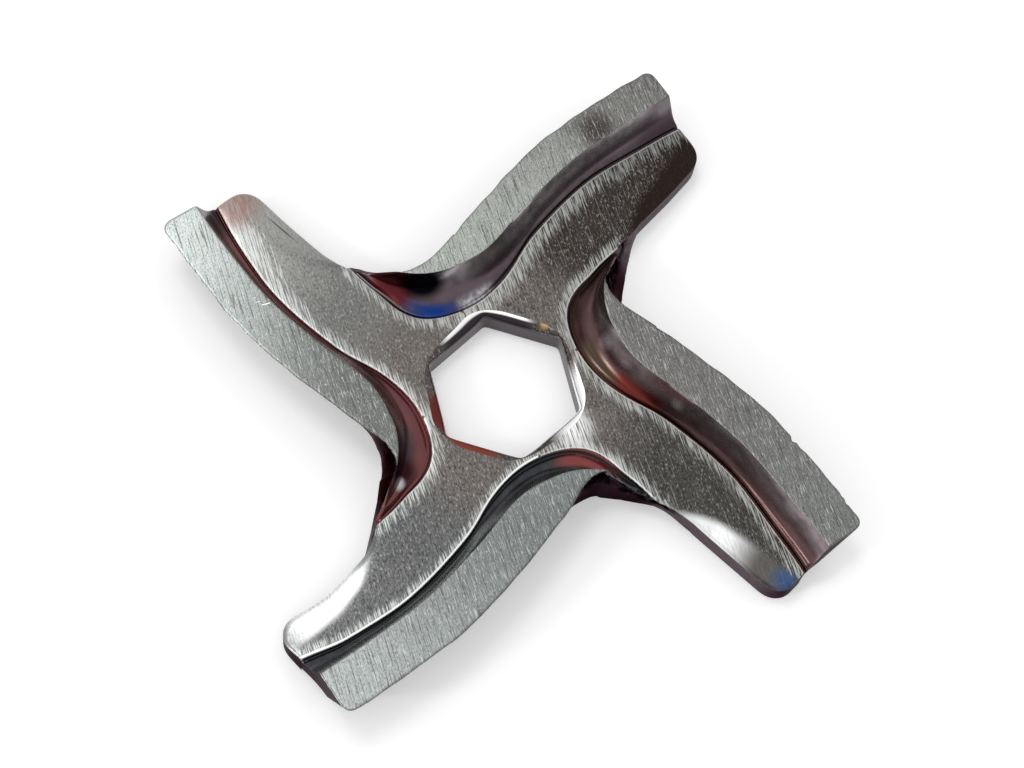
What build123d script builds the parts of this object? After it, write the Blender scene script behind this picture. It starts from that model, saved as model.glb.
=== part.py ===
from build123d import *
import math
import os

# Four-armed knife of a meat grinder, one piece of hardened steel.
# Millimetres, +Z up. The origin is on the drive axis, in the flat back face.
# The ground cutting strips are on top. Arm 0 points along +X, and each arm's
# cutting edge is on its left, so the knife cuts when it turns anticlockwise.

# --- driving dimensions -------------------------------------------------------
ARMS = 4                 # equal arms round the drive hole
THICKNESS = 4.0          # back face to cutting face
PLATE = 1.9              # back face to body face: the hub and arm plate
REACH = 22.05            # axis to the tip corner, along the arm
HUB_RADIUS = 9.04        # axis to the notch where two arms meet
CROWN = 0.1              # rise of the cutting edge over the hub radius at mid arm
TIP_SWEEP = 1.4          # fall of the cutting edge from its crown to the tip
STRIP = 2.66             # width of the ground cutting strip
FLANK_MID = 1.08         # width of the hollow flank at mid arm
FLANK_TIP = 1.62         # width of the hollow flank at the tip
POCKET = 2.2             # width of the hollow flank round the strip's root
BACK_OFFSET = 1.26       # back edge, ahead of the arm's radial line
TIP_LEAN = 1.5           # how far the tip's back corner falls short of REACH
TIP_CORNER = 0.8         # run of the rounded corner beside the cutting edge
BACK_CORNER = 1.3        # run of the rounded corner beside the back edge
RELIEF = 1.9             # undercut of the leading wall at the back face
ROOT_FLARE = 1.0         # spread of the notch wall at the back face
FACET_WIDTH = 2.2        # width of the sloped facet along the back edge
FACET_DROP = 0.3         # fall of that facet across its width
BORE_FLATS = 8.4         # hexagonal drive hole across its flats
BORE_CORNER = 0.42       # radius in the hexagon's corners
BORE_TURN = 26.1         # degrees from the arm to the normal of a flat
MOUTH = 9.9              # diameter of the drive hole's dished mouth
MOUTH_DEPTH = 0.6        # depth of that mouth
OVERRUN = 1.0            # how far a cutter runs past what it cuts

# --- shape of one arm, seen in plan -------------------------------------------
PITCH = 360 / ARMS
LEAD = HUB_RADIUS + CROWN

# Along the arm: share of REACH, share of TIP_SWEEP, and how far the flank's
# width has gone from FLANK_MID to FLANK_TIP.
ARM_STATIONS = [
    (1.10, 1.36, 1.80),
    (0.96, 1.00, 1.00),
    (0.90, 0.79, 0.70),
    (0.82, 0.54, 0.40),
    (0.74, 0.31, 0.15),
    (0.67, 0.12, 0.03),
    (0.59, 0.01, 0.00),
    (0.51, 0.00, 0.00),
    (0.44, 0.03, 0.05),
    (0.37, 0.10, 0.18),
]

# Round the root: a point of the strip's outer line in hub radii, the strip's
# width there as a share of STRIP, then the direction in degrees and the share
# of POCKET in which the hollow flank runs down to the body face.
ROOT_STATIONS = [
    (0.720, 0.979, 1.00, 266, 0.66),
    (0.530, 0.961, 0.91, 259, 0.80),
    (0.372, 0.941, 0.68, 251, 0.93),
    (0.232, 0.930, 0.42, 232, 0.97),
    (0.116, 0.955, 0.17, 217, 0.88),
    (0.060, 0.985, 0.06, 190, 0.62),
    (0.040, 1.010, 0.00, 132, 0.83),
    (0.045, 1.060, 0.00, 117, 1.22),
    (0.070, 1.140, 0.00, 112, 1.38),
]

# The outline round the root, at the cutting face: a point in hub radii, then
# its shift at the back face as shares of ROOT_FLARE (along the arm) and RELIEF.
NOTCH_LINE = [
    (0.465, 0.958, 0.00, 0.61),
    (0.290, 0.929, 0.55, 0.26),
    (0.151, 0.941, 0.93, 0.09),
    (0.046, 1.000, 1.05, 0.00),
    (-0.029, 1.161, 0.75, 0.08),
    (-0.087, 1.324, 0.35, 0.00),
]
BACK_START = 1.58        # hub radii from the axis to the start of the back edge

# Section of the hollow flank: share of its width, share of its height left.
FLANK_SECTION = [(0.0, 1.0), (0.2, 0.70), (0.42, 0.35), (0.66, 0.12), (1.0, 0.0)]

# Crease of the trailing facet: share of REACH, share of FACET_WIDTH.
CREASE = [(1.08, 1.15), (0.96, 1.0), (0.83, 0.83), (0.70, 0.66), (0.65, 0.46), (0.59, 0.08)]


def towards(start, end, run):
    """The plan point that lies a given run from start on the way to end."""
    length = math.dist(start, end)
    return tuple(a + (b - a) * run / length for a, b in zip(start, end))


def on_next_arm(point):
    """A plan point of this arm, moved to the same place on the next arm."""
    turn = math.radians(PITCH)
    x, y = point
    return (x * math.cos(turn) - y * math.sin(turn), x * math.sin(turn) + y * math.cos(turn))


def outline_of_arm(foot, height):
    """One arm's share of the outline: foot is 0 at the cutting face, 1 at the back."""
    undercut = foot * RELIEF
    tip_front = (REACH, LEAD - 1.12 * TIP_SWEEP - undercut)
    tip_back = (REACH - TIP_LEAN, BACK_OFFSET)
    back_line = (BACK_START * HUB_RADIUS, BACK_OFFSET)

    edge = [(s * REACH, LEAD - fall * TIP_SWEEP - undercut) for s, fall, _ in ARM_STATIONS[2:]]
    for a, b, flare, relief in NOTCH_LINE:
        edge.append((a * HUB_RADIUS + foot * flare * ROOT_FLARE, b * HUB_RADIUS - relief * undercut))
    front_start = towards(tip_front, edge[0], TIP_CORNER)
    points = [front_start] + edge + [on_next_arm(back_line)]

    def lift(point):
        return (point[0], point[1], height)

    away = on_next_arm((1, 0))
    heading = (front_start[0] - tip_front[0], front_start[1] - tip_front[1])
    return [
        Line(lift(towards(tip_back, tip_front, BACK_CORNER)),
             lift(towards(tip_front, tip_back, TIP_CORNER))),
        Bezier(lift(towards(tip_front, tip_back, TIP_CORNER)), lift(tip_front), lift(front_start)),
        Spline(*[lift(p) for p in points], tangents=[heading, away]),
        Line(lift(on_next_arm(back_line)),
             lift(on_next_arm(towards(tip_back, back_line, BACK_CORNER)))),
        Bezier(lift(on_next_arm(towards(tip_back, back_line, BACK_CORNER))),
               lift(on_next_arm(tip_back)),
               lift(on_next_arm(towards(tip_back, tip_front, BACK_CORNER)))),
    ]


def outline(foot, height):
    """The whole outline as one closed wire at a height."""
    edges = []
    for arm in range(ARMS):
        edges += [edge.rotate(Axis.Z, arm * PITCH) for edge in outline_of_arm(foot, height)]
    return Wire(edges)


def blank():
    """The outer walls: undercut along the cutting edges and flared at the notches."""
    return Solid.make_loft([outline(1, 0), outline(0, THICKNESS)], ruled=True)


def flank_line(share):
    """Plan points of the hollow flank at a share of its width, tip to root."""
    points = []
    for s, fall, widen in ARM_STATIONS:
        width = FLANK_MID + widen * (FLANK_TIP - FLANK_MID)
        points.append((s * REACH, LEAD - fall * TIP_SWEEP - STRIP - share * width))
    for a, b, taper, direction, run in ROOT_STATIONS:
        angle = math.radians(direction)
        x = a * HUB_RADIUS + share * run * POCKET * math.cos(angle)
        y = b * HUB_RADIUS - taper * STRIP + share * run * POCKET * math.sin(angle)
        points.append((x, y))
    return points


def land():
    """The raised land that carries one cutting strip, with its hollow flank."""
    sections = []
    for share, left in FLANK_SECTION:
        z = PLATE + left * (THICKNESS - PLATE)
        line = [(x, y, z) for x, y in flank_line(share)]
        outside = [(0.5 * HUB_RADIUS, 1.5 * HUB_RADIUS, z), (1.1 * REACH, LEAD + STRIP, z)]
        sections.append(Wire([Spline(*line)] + Polyline(line[-1], *outside, line[0]).edges()))
    return Solid.make_loft(sections)


def facet_cutter():
    """What is ground off the body face along one arm's back edge."""
    slope = FACET_DROP / FACET_WIDTH
    sections = []
    for s, share in CREASE:
        width = share * FACET_WIDTH
        outer = BACK_OFFSET - OVERRUN
        crease = (s * REACH, BACK_OFFSET + width, PLATE)
        below = (s * REACH, outer, PLATE - slope * (width + OVERRUN))
        above = (s * REACH, outer, PLATE + OVERRUN)
        sections.append(Wire(Polyline(crease, below, above, crease).edges()))
    return Solid.make_loft(sections, ruled=True)


def drive_hole():
    """The hexagonal hole with its dished mouth at the body face."""
    hexagon = RegularPolygon(BORE_FLATS / 2, 6, major_radius=False)
    hexagon = fillet(hexagon.vertices(), BORE_CORNER)
    hole = extrude(hexagon, THICKNESS)
    mouth = Pos(0, 0, PLATE - MOUTH_DEPTH) * Cone(
        BORE_FLATS / 2, MOUTH / 2, MOUTH_DEPTH, align=(Align.CENTER, Align.CENTER, Align.MIN))
    corner_to_flat = 30
    return Rot(0, 0, BORE_TURN - corner_to_flat) * hole + mouth


def knife():
    body = extrude(Circle(1.5 * REACH), PLATE)
    raised = land()
    for arm in range(ARMS):
        body = body + Rot(0, 0, arm * PITCH) * raised
    body = body & blank()
    cutter = facet_cutter()
    for arm in range(ARMS):
        body = body - Rot(0, 0, arm * PITCH) * cutter
    return body - drive_hole()


meat_grinder_knife = knife()

os.makedirs("parts", exist_ok=True)
export_step(meat_grinder_knife, "parts/meat_grinder_knife.step")
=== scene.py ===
# %% [markdown]
# # A meat grinder knife
#
# The knife is one piece of hardened steel with four swept arms. Each arm carries a raised strip that
# is ground flat and slides on the grinder's plate. A hollow flank falls from the strip to the lower
# body, and a hexagonal hole in the hub takes the drive.
#
# The imported solid gives the true size and place. This lesson models the same form again as a finer
# mesh, so that the lips, burrs and sheared walls are real geometry, and gives each kind of surface the
# finish that its last operation left on it, with painted reflections, highlights and shade in its
# colour.

# %% Load the frame
import math

import bmesh
import bpy
import numpy as np
from mathutils import Matrix, Vector, noise
from mathutils.geometry import delaunay_2d_cdt


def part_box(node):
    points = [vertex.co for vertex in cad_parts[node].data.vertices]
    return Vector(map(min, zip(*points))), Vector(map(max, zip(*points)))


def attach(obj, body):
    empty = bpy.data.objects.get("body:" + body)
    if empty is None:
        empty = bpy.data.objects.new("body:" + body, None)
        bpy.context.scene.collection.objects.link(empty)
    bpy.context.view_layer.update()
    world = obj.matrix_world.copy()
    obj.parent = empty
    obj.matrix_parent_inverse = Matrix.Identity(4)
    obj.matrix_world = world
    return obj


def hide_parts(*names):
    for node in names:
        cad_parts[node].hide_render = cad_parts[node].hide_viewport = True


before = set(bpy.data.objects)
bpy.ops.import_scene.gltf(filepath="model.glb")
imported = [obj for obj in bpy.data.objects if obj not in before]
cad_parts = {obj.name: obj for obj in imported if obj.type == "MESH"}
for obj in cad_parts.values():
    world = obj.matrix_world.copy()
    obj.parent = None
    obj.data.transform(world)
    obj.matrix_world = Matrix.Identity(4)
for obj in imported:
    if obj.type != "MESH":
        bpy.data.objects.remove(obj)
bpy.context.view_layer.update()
low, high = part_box("meat_grinder_knife")
print("knife from", tuple(low), "to", tuple(high))

# %% [markdown]
# ## Driving sizes
#
# A maker's drawing would give these sizes. All the curves below are written as shares of them, so the
# drawing could be changed in one place. The thickness comes from the frame itself. Everything is in
# millimetres until the mesh is made, and Blender then gets metres.

# %% Driving sizes in millimetres
MM = 0.001
THICKNESS = high.z / MM
PLATE = 1.9              # back face to body face
REACH = 22.05            # axis to the tip corner, along the arm
HUB_RADIUS = 9.04        # axis to the notch between two arms
CROWN = 0.1              # rise of the cutting edge over the hub radius
TIP_SWEEP = 1.4          # fall of the cutting edge from its crown to the tip
STRIP = 2.66             # width of the ground strip
FLANK_MID = 1.08         # width of the hollow flank at mid arm
FLANK_TIP = 1.62         # width of the hollow flank at the tip
POCKET = 2.2             # width of the flank round the strip's root
BACK_OFFSET = 1.26       # back edge, ahead of the arm's radial line
TIP_LEAN = 1.5           # how far the tip's back corner falls short
RELIEF = 1.9             # undercut of the leading wall at the back face
ROOT_FLARE = 1.0         # spread of the notch wall at the back face
FACET_WIDTH = 2.2        # sloped facet along the back edge
FACET_DROP = 0.3         # fall of that facet across its width
BORE_FLATS = 8.4         # hexagonal hole across its flats
BORE_CORNER = 0.42       # radius in the hexagon's corners
BORE_TURN = 26.1         # degrees from the arm to the normal of a flat
MOUTH = 9.5              # the rolled mouth across its flats
MOUTH_CORNER = 2.9       # radius in the mouth's corners
ARMS = 4
LEAD = HUB_RADIUS + CROWN
print("thickness", round(THICKNESS, 3), "mm, arm reach", REACH, "mm")

# %% [markdown]
# ## Curves of one arm
#
# Three lines run along the arm: the cutting edge, the inner edge of the strip, and the foot of the
# hollow flank. They are chosen at the same stations, so a straight line from one to the next crosses
# the arm squarely. Round the root the three lines fan out about the point where the strip ends.
# A natural cubic spline passes through the stations, because it is the smoothest line that does, like
# a draughtsman's batten. Curve objects could draw them too, but several zones need the same points.

# %% Stations
# along the arm: share of REACH, share of TIP_SWEEP, widening of the flank from FLANK_MID to FLANK_TIP
ARM_STATIONS = [
    (0.96, 1.00, 1.00),
    (0.90, 0.79, 0.70),
    (0.82, 0.54, 0.40),
    (0.74, 0.31, 0.15),
    (0.67, 0.12, 0.03),
    (0.59, 0.01, 0.00),
    (0.51, 0.00, 0.00),
    (0.44, 0.03, 0.05),
    (0.37, 0.10, 0.18),
]
# round the root: the strip's outer line in hub radii, its width as a share of STRIP, and the
# direction in degrees and share of POCKET of the way down the flank
ROOT_STATIONS = [
    (0.720, 0.979, 1.00, 266, 0.66),
    (0.530, 0.961, 0.91, 259, 0.80),
    (0.372, 0.941, 0.68, 251, 0.93),
    (0.232, 0.930, 0.42, 232, 0.97),
    (0.116, 0.955, 0.17, 217, 0.88),
    (0.070, 0.980, 0.06, 193, 0.66),
    (0.050, 0.995, 0.02, 162, 0.59),
    (0.046, 1.000, 0.00, 133, 0.83),
    (0.046, 1.001, 0.00, 118, 1.17),
    (0.046, 1.002, 0.00, 112, 1.43),
]


def spline(points, stations, at):
    """Natural cubic spline through points that are reached at the given stations."""
    p, s, at = np.array(points, float), np.array(stations, float), np.array(at, float)
    n, h = len(p), np.diff(s)
    lhs, rhs = np.zeros((n, n)), np.zeros_like(p)
    lhs[0, 0] = lhs[-1, -1] = 1
    for i in range(1, n - 1):
        lhs[i, i - 1:i + 2] = h[i - 1], 2 * (h[i - 1] + h[i]), h[i]
        rhs[i] = 6 * ((p[i + 1] - p[i]) / h[i] - (p[i] - p[i - 1]) / h[i - 1])
    bend = np.linalg.solve(lhs, rhs)
    k = np.clip(np.searchsorted(s, at, side="right") - 1, 0, n - 2)
    a, b = (s[k + 1] - at)[:, None], (at - s[k])[:, None]
    g = h[k][:, None]
    curve = bend[k] * a ** 3 / (6 * g) + bend[k + 1] * b ** 3 / (6 * g)
    return curve + (p[k] / g - bend[k] * g / 6) * a + (p[k + 1] / g - bend[k + 1] * g / 6) * b


def lengths(points):
    """Distance along a chain of points."""
    steps = np.linalg.norm(np.diff(np.array(points, float), axis=0), axis=1)
    return np.concatenate([[0], np.cumsum(steps)])


def even(points, count):
    """Points spaced evenly on the smooth line through a few chosen ones."""
    s = lengths(points)
    fine = spline(points, s, np.linspace(0, s[-1], 40 * len(points)))
    f = lengths(fine)
    want = np.linspace(0, f[-1], count)
    return np.stack([np.interp(want, f, fine[:, i]) for i in range(fine.shape[1])], axis=1)


def arm_lines(rows):
    """Cutting edge, strip's inner edge and flank's foot, each as rows plan points."""
    edge, inner, foot = [], [], []
    for share, fall, widen in ARM_STATIONS:
        x, y = share * REACH, LEAD - fall * TIP_SWEEP
        edge.append((x, y))
        inner.append((x, y - STRIP))
        foot.append((x, y - STRIP - FLANK_MID - widen * (FLANK_TIP - FLANK_MID)))
    for a, b, taper, direction, run in ROOT_STATIONS:
        x, y, way = a * HUB_RADIUS, b * HUB_RADIUS, math.radians(direction)
        edge.append((x, y))
        inner.append((x, y - taper * STRIP))
        foot.append((x + run * POCKET * math.cos(way), y - taper * STRIP + run * POCKET * math.sin(way)))
    stations = (lengths(edge) + lengths(inner) + 2 * lengths(foot)) / 4
    at = np.linspace(0, stations[-1], rows)
    return [spline(line, stations, at) for line in (edge, inner, foot)]


ARM_ROWS = 240           # points along each line
EDGE, INNER, FOOT = arm_lines(ARM_ROWS)
print("the foot line is", round(lengths(FOOT)[-1], 1), "mm long")

# %% [markdown]
# ## The tip
#
# The arms end on one slightly leaning line. The two long curves are drawn past it and then trimmed
# back, which keeps them fair right up to the end. Both corners of the tip are rounded in plan: the one
# at the cutting edge a little, the one at the back edge more.

# %% Trim at the tip
TIP_CORNER = 0.8         # run of the rounded corner beside the cutting edge
BACK_CORNER = 1.3        # run of the rounded corner beside the back edge
TIP_FRONT = LEAD - 1.12 * TIP_SWEEP


def tip_x(y):
    """Where the tip's line lies at a distance ahead of the arm's radial line."""
    return REACH - TIP_LEAN * (TIP_FRONT - y) / (TIP_FRONT - BACK_OFFSET)


def trimmed(line):
    """The line drawn on past its end, then cut at the tip's line, with as many points as before."""
    past = line[0] + (line[0] - line[4]) * 2.0
    longer = np.vstack([past, line])
    beyond = longer[:, 0] - tip_x(longer[:, 1])
    k = int(np.argmax(beyond < 0))
    share = beyond[k - 1] / (beyond[k - 1] - beyond[k])
    start = longer[k - 1] + share * (longer[k] - longer[k - 1])
    kept = np.vstack([start, longer[k:]])
    s = lengths(kept)
    at = np.linspace(0, 1, len(line)) * s[-1]
    return np.stack([np.interp(at, s, kept[:, i]) for i in (0, 1)], axis=1)


def rounded(before, corner, after, run, count):
    """A corner replaced by a quadratic curve that starts and ends a given run away from it."""
    before, corner, after = (np.array(p, float) for p in (before, corner, after))
    a = corner + (before - corner) * run / np.linalg.norm(before - corner)
    b = corner + (after - corner) * run / np.linalg.norm(after - corner)
    t = np.linspace(0, 1, count)[:, None]
    return (1 - t) ** 2 * a + 2 * t * (1 - t) * corner + t ** 2 * b


EDGE, INNER, FOOT = trimmed(EDGE), trimmed(INNER), trimmed(FOOT)
print("tip corners at", EDGE[0].round(2), INNER[0].round(2), FOOT[0].round(2))

# %% [markdown]
# ## The outline of one arm
#
# The side wall follows one closed line round the knife. One arm's share of it starts where the groove
# of the arm behind runs out, goes along the back edge, round the tip, in along the cutting edge and
# through the notch. The same share at the back face is the foot of the wall: set back under the
# cutting edge, so that only the edge touches the plate, and spread outwards in the notch, where the
# blank was sheared.

# %% Outline at the top and at the back face
BACK_START = 1.58        # hub radii from the axis to the start of the straight back edge
NOTCH_BACK = [(1.324, 0.62), (1.45, 0.87), (1.58, 1.0)]   # hub radii, share of BACK_OFFSET
# along the cutting edge and the notch: share of the way from tip to groove end, then the foot's
# shift as shares of RELIEF (towards the back edge) and ROOT_FLARE (out along the arm)
FOOT_SHIFT = [(0.0, 1.0, 0.0), (0.62, 1.0, 0.0), (0.70, 0.61, 0.0), (0.77, 0.26, 0.55),
              (0.83, 0.09, 0.93), (0.875, 0.0, 1.05), (0.93, 0.08, 0.75), (1.0, 0.0, 0.30)]
TIP_SETBACK = 0.65       # how far the strip's end leans back under its tip
SETBACK_RUN = 4.5        # how far along the cutting edge that lean fades out
WALL_STEP = 0.13         # between the outline's points
PINCHED = 0.06           # where the strip is narrower than this it ends


def turned(points, quarter_turns=1):
    """Plan points turned about the drive axis by whole arm pitches."""
    angle = quarter_turns * 2 * math.pi / ARMS
    p = np.array(points, float)
    c, s = math.cos(angle), math.sin(angle)
    return np.stack([p[:, 0] * c - p[:, 1] * s, p[:, 0] * s + p[:, 1] * c], axis=1)


def back_edge():
    """From the end of the groove behind, along the back edge and round the tip's back corner."""
    bend = [(a * HUB_RADIUS, share * BACK_OFFSET) for a, share in NOTCH_BACK]
    start = turned([FOOT[-1]], -1)[0]
    bend[0] = tuple(start)
    corner = (tip_x(BACK_OFFSET), BACK_OFFSET)
    arc = rounded(bend[-1], corner, FOOT[0], BACK_CORNER, count=14)
    curve = even(bend, int((bend[-1][0] - start[0]) / WALL_STEP))
    straight = int((arc[0][0] - bend[-1][0]) / WALL_STEP)
    line = np.linspace(bend[-1], arc[0], straight)
    end = np.linspace(arc[-1], FOOT[0], int(math.dist(arc[-1], FOOT[0]) / WALL_STEP) + 1)
    return np.vstack([curve, line[1:], arc[1:], end[1:]])


def strip_end():
    """The strip's end at the tip and its rounded corner, from the inner edge to the cutting edge."""
    arc = rounded(INNER[0], EDGE[0], EDGE[12], TIP_CORNER, count=9)
    end = np.linspace(INNER[0], arc[0], int(math.dist(INNER[0], arc[0]) / WALL_STEP) + 1)
    return np.vstack([end[:-1], arc])


def cutting_line():
    """The cutting edge from its rounded tip corner to the root of the strip."""
    away = np.linalg.norm(EDGE - EDGE[0], axis=1) > TIP_CORNER * 1.05
    return EDGE[away]


PINCH = int(np.argmax(np.linalg.norm(EDGE - INNER, axis=1) < PINCHED))
INNER[PINCH:] = EDGE[PINCH:]
BACK, STRIP_END, CUTTING = back_edge(), strip_end(), cutting_line()
print("outline parts:", len(BACK), "back,", len(STRIP_END), "tip,", len(CUTTING), "cutting edge points")

# %% [markdown]
# ## Heights
#
# The knife has three levels seen from above: the ground strips, the body face that lies lower, and the
# hollow flank between them. No real edge is perfectly sharp, so every zone falls away a few hundredths
# of a millimetre beside its border. These small lips are what catches the light along the arms.
# The fall is worked out from the distance to the border, which makes corners come out by themselves.

# %% Heights of the zones
STRIP_LIP = (0.05, 0.09)     # fall and run of the cutting edge's burr and the strip's ends
INNER_LIP = (0.02, 0.05)     # the strip's crisp inner edge
GROOVE_LIP = (0.028, 0.24)   # the body's worn lip beside the groove
BODY_LIP = (0.10, 0.22)      # the body's rounded outer edge
BACK_LIP = (0.08, 0.16)      # the back face's edge
# share of REACH, share of FACET_WIDTH: where the sloped facet along the back edge begins
CREASE = [(1.08, 1.15), (0.96, 1.0), (0.83, 0.83), (0.70, 0.66), (0.65, 0.46), (0.59, 0.08),
          (0.55, 0.0)]
# share of the flank's width, share of its height left
FLANK = [(0.0, 1.0), (0.1, 0.86), (0.2, 0.70), (0.31, 0.52), (0.42, 0.35), (0.54, 0.21),
         (0.66, 0.12), (0.78, 0.07), (0.84, 0.03), (0.90, -0.05), (0.95, -0.06), (1.0, 0.0)]


def distance(points, line):
    """Plan distance from each point to a chain of points."""
    p, line = np.array(points, float)[:, :2], np.array(line, float)[:, :2]
    best = np.full(len(p), np.inf)
    for a, b in zip(line[:-1], line[1:]):
        way = b - a
        size = way @ way
        if size < 1e-12:
            continue
        t = np.clip(((p - a) @ way) / size, 0, 1)
        best = np.minimum(best, np.linalg.norm(p - a - t[:, None] * way, axis=1))
    return best


def nearest(points, lines):
    """Plan distance from each point to the nearest of several chains."""
    return np.min([distance(points, line) for line in lines], axis=0)


def lip(away, fall_and_run):
    """Fall beside a border, zero from the lip's run onwards."""
    fall, run = fall_and_run
    return fall * np.clip(1 - np.asarray(away) / run, 0, 1) ** 2


STRIP_BORDER = np.vstack([STRIP_END, CUTTING])
FEET = [turned(FOOT, k) for k in range(-1, 3)]
BACKS = [BACK, turned(BACK)]


def strip_z(points):
    return (THICKNESS - lip(distance(points, STRIP_BORDER), STRIP_LIP)
            - lip(distance(points, INNER), INNER_LIP))


def facet_fall(points):
    """How far the trailing facet lies under the body face."""
    crease = np.array([(s * REACH, BACK_OFFSET + w * FACET_WIDTH) for s, w in CREASE[::-1]])
    begin = np.interp(points[:, 0], crease[:, 0], crease[:, 1], left=-REACH)
    fall = FACET_DROP / FACET_WIDTH * np.clip(begin - points[:, 1], 0, None)
    return np.where(points[:, 0] > crease[0, 0], fall, 0)


def body_z(points):
    """The lower face, in the plan of this arm and the hub quarter behind it."""
    points = np.array(points, float)
    to_groove = nearest(points, FEET[:2])
    to_edge = nearest(points, BACKS)
    return PLATE - lip(to_groove, GROOVE_LIP) - lip(to_edge, BODY_LIP) - facet_fall(points)


print("tip height of the body face:", body_z([FOOT[0]]).round(3))

# %% [markdown]
# ## Building one arm
#
# The flat zones have free outlines, so a constrained Delaunay fill suits them: rows of points run
# beside the border, where the lips need them, and a loose grid covers the rest. The flank is a ruled
# band with its own section, so it is a plain grid of quads, and so is the side wall. Neighbouring
# zones share the very same border points, and a later merge welds them into one closed skin.

# %% A collector for one arm's faces
STRIP_ZONE, FLANK_ZONE, BODY_ZONE, WALL_ZONE, BACK_ZONE, BORE_ZONE, MOUTH_ZONE = range(7)


class Skin:
    """Points and faces of one part of the skin, with each face's zone and a few values per point."""

    # share of the way across, distances to the nearest groove and to the arm's own, fall of the
    # facet, and share of the pattern's offset: each with its value where nothing is given
    PLAIN = {"across": 0.0, "rim": 9.0, "own": 9.0, "facet": 0.0, "drift": 0.0}

    def __init__(self):
        self.points, self.faces, self.zones = [], [], []
        self.values = {key: [] for key in self.PLAIN}

    def add(self, points, faces, zone, **given):
        base = len(self.points)
        self.points += [tuple(p) for p in points]
        self.faces += [tuple(base + i for i in face) for face in faces]
        self.zones += [zone] * len(faces)
        for key, plain in self.PLAIN.items():
            self.values[key] += [float(v) for v in np.broadcast_to(given.get(key, plain), len(points))]

    def grid(self, rows, zone, closed=False, **given):
        """Quads between rows of points, with values that are given by row and column."""
        rows = np.array(rows, float)
        r, c = rows.shape[:2]
        faces = [(i * c + j, i * c + (j + 1) % c, (i + 1) * c + (j + 1) % c, (i + 1) * c + j)
                 for i in range(r - 1) for j in range(c if closed else c - 1)]
        flat = {key: np.broadcast_to(value, (r, c)).ravel() for key, value in given.items()}
        self.add(rows.reshape(-1, 3), faces, zone, **flat)

    def mesh(self, name):
        mesh = bpy.data.meshes.new(name)
        mesh.from_pydata([Vector(p) * MM for p in self.points], [], self.faces)
        zone = mesh.attributes.new("zone", "INT", "FACE")
        zone.data.foreach_set("value", self.zones)
        for key, values in self.values.items():
            mesh.attributes.new(key, "FLOAT", "POINT").data.foreach_set("value", values)
        return mesh


def fill(border, height, rows, spacing):
    """Triangles inside a closed plan border, with rows of points beside it, at a given height."""
    border = np.array(border, float)
    closed = np.vstack([border, border[:1]])
    ahead = np.roll(border, -1, axis=0) - np.roll(border, 1, axis=0)
    ahead /= np.linalg.norm(ahead, axis=1)[:, None]
    x, y = border[:, 0], border[:, 1]
    turn = np.sign(np.sum(x * np.roll(y, -1) - y * np.roll(x, -1)))
    inward = np.stack([-ahead[:, 1], ahead[:, 0]], axis=1) * turn
    inner = []
    for run in rows:
        row = border + inward * run
        inner.append(row[distance(row, closed) > 0.93 * run])
    span = [np.arange(lo, hi, spacing) for lo, hi in zip(border.min(0), border.max(0))]
    loose = np.stack(np.meshgrid(*span), axis=-1).reshape(-1, 2)
    loose[:, 0] += 0.5 * spacing * (np.round(loose[:, 1] / spacing) % 2)
    inner.append(loose[distance(loose, closed) > rows[-1] + 0.4 * spacing])
    points = np.vstack([border] + inner)
    n = len(border)
    loop = [(i, (i + 1) % n) for i in range(n)]
    out, _, faces, _, _, _ = delaunay_2d_cdt([Vector(p) for p in points], loop, [], 1, 1e-5)
    plan = np.array([(v.x, v.y) for v in out])
    return np.column_stack([plan, height(plan)]), faces


print("each point carries:", ", ".join(Skin.PLAIN))

# %% [markdown]
# ### Room for the groove pattern to move
#
# The grooves were pressed apart from the outline and the hole, so later they can be moved a little. The
# flank moves with them fully. Over the strip and the body the move fades out, and the cutting edge, the
# back edge and the hole stay in place.

# %% How far each place follows the groove pattern
STRIP_FADE = 2.5         # run over which the move fades out on the strip
BODY_FADE = 1.6          # and on the body
HOLE_FADE = 1.0          # and towards the hole


def eased(share):
    """Smooth step from 0 to 1."""
    share = np.clip(share, 0, 1)
    return share * share * (3 - 2 * share)


def strip_drift(points):
    return eased(1 - distance(points, INNER) / STRIP_FADE)


def body_drift(points):
    points = np.array(points, float)[:, :2]
    to_groove = nearest(points, FEET)
    from_hole = np.linalg.norm(points, axis=1) - BORE_FLATS / 2
    return eased(1 - to_groove / BODY_FADE) * eased(from_hole / HOLE_FADE)


print("the cutting edge follows by", round(float(strip_drift(EDGE[:1])[0]), 3), "at the tip")

# %% The strip and its hollow flank
FLANK_COLUMNS = 22       # points across the flank
FILL_STEP = 0.42         # between the loose points inside the strip and the body
STRIP_ROWS = (0.03, 0.08, 0.2)           # distances of the rows beside the strip's border
BODY_ROWS = (0.05, 0.11, 0.2, 0.36)      # the same for the body
arm_skin = Skin()


def ground_strip(skin):
    """The flat strip on top: the one surface that touches the plate."""
    upto = len(CUTTING) - (len(EDGE) - 1 - PINCH)
    border = np.vstack([STRIP_END, CUTTING[:upto], INNER[1:PINCH][::-1]])
    points, faces = fill(border, strip_z, STRIP_ROWS, FILL_STEP)
    skin.add(points, faces, STRIP_ZONE, rim=distance(points, STRIP_BORDER), drift=strip_drift(points))


def hollow_flank(skin):
    """The concave band from the strip down to the body face."""
    u = np.linspace(0, 1, FLANK_COLUMNS)
    shares = np.interp(u, *zip(*FLANK))
    width = (1 - u)[None, :, None]
    plan = INNER[:, None, :] * width + FOOT[:, None, :] * (1 - width)
    top, bottom = strip_z(INNER), body_z(FOOT)
    z = bottom[:, None] + (top - bottom)[:, None] * shares[None, :]
    rows = np.concatenate([plan, z[..., None]], axis=2)
    skin.grid(rows, FLANK_ZONE, across=u[None, :], drift=1.0)


ground_strip(arm_skin)
hollow_flank(arm_skin)
print("strip and flank:", len(arm_skin.faces), "faces")

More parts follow.
